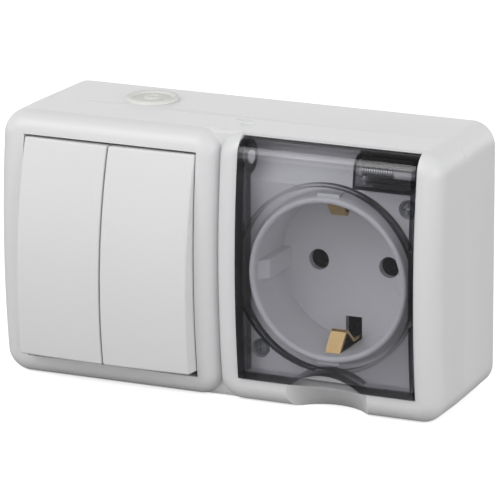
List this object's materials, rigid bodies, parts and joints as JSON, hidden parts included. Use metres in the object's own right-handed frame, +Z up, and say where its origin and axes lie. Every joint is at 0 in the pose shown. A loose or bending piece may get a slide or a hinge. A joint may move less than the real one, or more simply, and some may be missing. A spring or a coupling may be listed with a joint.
{
  "type": "switch and socket combination",
  "caption": "Surface-mounted splash-proof unit: rocker switches beside an earthed socket under a smoked, sprung lid.",
  "frame": {"origin": "centre of the flat back face, which lies on the wall", "axes": "+X to the right seen from the front, +Y into the wall, +Z up; the front faces -Y"},
  "size_m": [0.12, 0.0456, 0.0699],
  "materials": {
    "shell_white": "satin white",
    "membrane": "soft matte white",
    "smoked_plastic": "clear smoked",
    "insulator": "matte dark",
    "contact_brass": "bright",
    "screw_steel": "zinc-plated",
    "spring_steel": "bright"
  },
  "bodies": {
    "housing": {"back_box": "shell_white", "gland_membrane": "membrane", "front_cover": "shell_white", "switch_base": "insulator", "switch_retainer": "insulator", "common_contact": "contact_brass", "fixed_contact_left": "contact_brass", "fixed_contact_right": "contact_brass", "switch_terminal_screws": "screw_steel", "switch_base_screws": "screw_steel", "socket_panel": "shell_white", "panel_screw_lower": "screw_steel", "panel_screw_upper": "screw_steel", "socket_base": "insulator", "socket_base_screws": "screw_steel", "live_contact": "contact_brass", "neutral_contact": "contact_brass", "socket_terminal_screws": "screw_steel", "earth_strip": "contact_brass"},
    "left_rocker": {"rocker_left": "shell_white", "plunger_left": "insulator", "plunger_spring_left": "spring_steel"},
    "right_rocker": {"rocker_right": "shell_white", "plunger_right": "insulator", "plunger_spring_right": "spring_steel"},
    "left_contact": {"contact_rocker_left": "contact_brass"},
    "right_contact": {"contact_rocker_right": "contact_brass"},
    "lid_assembly": {"lid": "smoked_plastic", "lid_spring": "spring_steel"}
  },
  "joints": [
    {"name": "left_rocker_pivot", "type": "hinge", "parent": "housing", "child": "left_rocker", "pos_m": [-0.0409, -0.031, 0], "axis": [1, 0, 0], "range_deg": [0, 9.4]},
    {"name": "right_rocker_pivot", "type": "hinge", "parent": "housing", "child": "right_rocker", "pos_m": [-0.0171, -0.031, 0], "axis": [1, 0, 0], "range_deg": [0, 9.4]},
    {"name": "left_contact_rock", "type": "hinge", "parent": "housing", "child": "left_contact", "pos_m": [-0.0409, -0.0172, 0], "axis": [1, 0, 0], "range_deg": [-12.1, 0]},
    {"name": "right_contact_rock", "type": "hinge", "parent": "housing", "child": "right_contact", "pos_m": [-0.0171, -0.0172, 0], "axis": [1, 0, 0], "range_deg": [-12.1, 0]},
    {"name": "lid_hinge", "type": "hinge", "parent": "housing", "child": "lid_assembly", "pos_m": [0.03, -0.03401, 0.0284], "axis": [-1, 0, 0], "range_deg": [0, 100], "stiffness_Nm_per_rad": 0.01, "springref_deg": -28.65}
  ],
  "couplings": [
    {"joint": "left_contact_rock", "follows": "left_rocker_pivot", "ratio": -1.2766},
    {"joint": "right_contact_rock", "follows": "right_rocker_pivot", "ratio": -1.2766}
  ]
}
